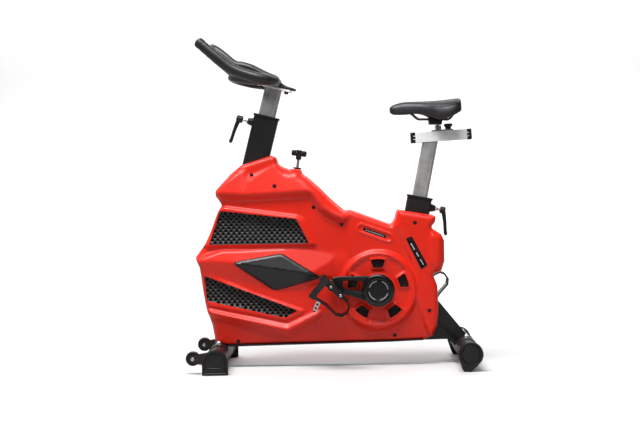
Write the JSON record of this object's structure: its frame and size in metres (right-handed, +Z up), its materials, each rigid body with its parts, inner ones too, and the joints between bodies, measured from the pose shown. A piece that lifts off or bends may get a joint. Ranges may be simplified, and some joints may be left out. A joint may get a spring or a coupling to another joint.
{
  "type": "indoor spin bike",
  "caption": "Belt-driven indoor cycle: red shell over a flywheel, cranks with toe-cage pedals, sliding handlebar and saddle posts, and a press brake on cross-tube feet.",
  "frame": {"origin": "on the floor, under the middle of the bike's box", "axes": "+X towards the rear (saddle), +Y towards the rider's right, +Z up"},
  "size_m": [1.064, 0.52, 1.2078],
  "materials": {
    "frame_paint": "satin black paint",
    "stabilizer_paint": "satin black-brown paint",
    "shroud_red": "satin gloss moulded plastic",
    "black_plastic": "fine-grained black plastic",
    "black_gloss": "gloss black plastic",
    "grille_black": "perforated black panel",
    "brushed_alu": "brushed along its length",
    "chrome": "polished",
    "steel": "bright zinc",
    "cast_iron": "machined rim",
    "pulley_metal": "as cast",
    "belt_rubber": "ribbed belt",
    "wheel_plastic": "hard black wheel",
    "grip_pvc": "dipped soft grip",
    "strap": "moulded strap",
    "saddle_vinyl": "grained vinyl over foam"
  },
  "bodies": {
    "frame": {"base_beam": "frame_paint", "main_tube": "frame_paint", "rear_strut": "frame_paint", "seat_tube": "frame_paint", "head_tube": "frame_paint", "fork": "frame_paint", "bottom_bracket": "frame_paint", "front_stabilizer": "stabilizer_paint", "rear_stabilizer": "stabilizer_paint", "stabilizer_bolts": "steel", "front_feet": "black_plastic", "rear_feet": "black_plastic", "wheel_bolts": "steel", "head_collar": "black_plastic", "seat_collar": "black_plastic", "shroud_left": "shroud_red", "shroud_right": "shroud_red", "grilles": "grille_black", "diamond_panels": "black_gloss", "ring_backings": "black_gloss", "shroud_screws": "black_plastic", "badges": "black_gloss", "knob_grommet": "black_plastic", "brake_guide": "steel", "flywheel_axle": "steel", "bearings": "steel", "belt": "belt_rubber"},
    "flywheel_group": {"flywheel": "cast_iron", "flywheel_pulley": "pulley_metal"},
    "crank_group": {"drive_pulley": "pulley_metal", "crank_spindle": "steel", "crank_arm_left": "frame_paint", "crank_arm_right": "frame_paint", "crank_caps": "black_gloss", "pedal_spindles": "steel"},
    "left_pedal_group": {"pedal_left": "black_plastic", "toe_cage_left": "black_plastic", "toe_strap_left": "strap"},
    "right_pedal_group": {"pedal_right": "black_plastic", "toe_cage_right": "black_plastic", "toe_strap_right": "strap"},
    "handlebar_group": {"handlebar_post": "brushed_alu", "handlebar_plate": "steel", "handlebar_bolts": "black_plastic", "handlebar": "grip_pvc"},
    "front_lever_group": {"front_lever": "black_plastic"},
    "seat_post_group": {"seat_post": "brushed_alu", "seat_rail": "steel", "rail_caps": "black_plastic"},
    "rear_lever_group": {"rear_lever": "black_plastic"},
    "carriage_group": {"seat_carriage": "chrome"},
    "slider_knob_group": {"slider_knob": "black_plastic"},
    "saddle_group": {"saddle": "saddle_vinyl", "saddle_rails": "steel", "saddle_clamp": "black_plastic"},
    "brake_rod_group": {"brake_rod": "chrome"},
    "brake_knob_group": {"brake_knob": "black_plastic"},
    "brake_shoe_group": {"brake_shoe": "black_plastic"},
    "wheel_left_group": {"wheel_left": "wheel_plastic"},
    "wheel_right_group": {"wheel_right": "wheel_plastic"}
  },
  "joints": [
    {"name": "flywheel_spin", "type": "hinge", "parent": "frame", "child": "flywheel_group", "pos_m": [-0.3, 0, 0.378], "axis": [0, 1, 0], "continuous": true},
    {"name": "crank_spin", "type": "hinge", "parent": "frame", "child": "crank_group", "pos_m": [0.166, 0, 0.284], "axis": [0, 1, 0], "continuous": true},
    {"name": "left_pedal_spin", "type": "hinge", "parent": "crank_group", "child": "left_pedal_group", "pos_m": [-0.00461, -0.172, 0.30585], "axis": [0, 1, 0], "continuous": true},
    {"name": "right_pedal_spin", "type": "hinge", "parent": "crank_group", "child": "right_pedal_group", "pos_m": [0.33661, 0.172, 0.26215], "axis": [0, 1, 0], "continuous": true},
    {"name": "handlebar_height", "type": "slide", "parent": "frame", "child": "handlebar_group", "axis": [0.2504, 0, 0.9681], "range_m": [-0.09, 0.1]},
    {"name": "front_lever_turn", "type": "hinge", "parent": "frame", "child": "front_lever_group", "pos_m": [-0.29008, 0, 0.90995], "axis": [-0.9681, 0, 0.2504], "range_deg": [-90, 90]},
    {"name": "seat_height", "type": "slide", "parent": "frame", "child": "seat_post_group", "axis": [0.1977, 0, 0.9803], "range_m": [-0.15, 0.1]},
    {"name": "rear_lever_turn", "type": "hinge", "parent": "frame", "child": "rear_lever_group", "pos_m": [0.36656, 0, 0.58048], "axis": [0.9803, 0, -0.1977], "range_deg": [-90, 90]},
    {"name": "seat_fore_aft", "type": "slide", "parent": "seat_post_group", "child": "carriage_group", "axis": [0.9986, 0, 0.0528], "range_m": [-0.06, 0.045]},
    {"name": "slider_knob_turn", "type": "hinge", "parent": "carriage_group", "child": "slider_knob_group", "pos_m": [0.43723, 0, 0.87798], "axis": [-0.0528, 0, 0.9986], "range_deg": [-360, 360]},
    {"name": "saddle_tilt", "type": "hinge", "parent": "carriage_group", "child": "saddle_group", "pos_m": [0.393, 0, 0.9], "axis": [0, 1, 0], "range_deg": [-10, 10]},
    {"name": "brake_press", "type": "slide", "parent": "frame", "child": "brake_rod_group", "axis": [0.1392, 0, 0.9903], "range_m": [-0.0045, 0], "stiffness_N_per_m": 5000, "springref_m": 0.004},
    {"name": "brake_adjust", "type": "hinge", "parent": "brake_rod_group", "child": "brake_knob_group", "pos_m": [-0.119, 0, 0.789], "axis": [0.1392, 0, 0.9903], "range_deg": [-720, 360]},
    {"name": "shoe_travel", "type": "slide", "parent": "brake_rod_group", "child": "brake_shoe_group", "axis": [0.1392, 0, 0.9903], "range_m": [-0.002, 0.001]},
    {"name": "wheel_left_spin", "type": "hinge", "parent": "frame", "child": "wheel_left_group", "pos_m": [-0.506, -0.215, 0.057], "axis": [0, 1, 0], "continuous": true},
    {"name": "wheel_right_spin", "type": "hinge", "parent": "frame", "child": "wheel_right_group", "pos_m": [-0.506, 0.215, 0.057], "axis": [0, 1, 0], "continuous": true}
  ],
  "couplings": [
    {"joint": "crank_spin", "follows": "flywheel_spin", "ratio": 0.3},
    {"joint": "brake_adjust", "follows": "shoe_travel", "rad_per_m": 6276}
  ]
}
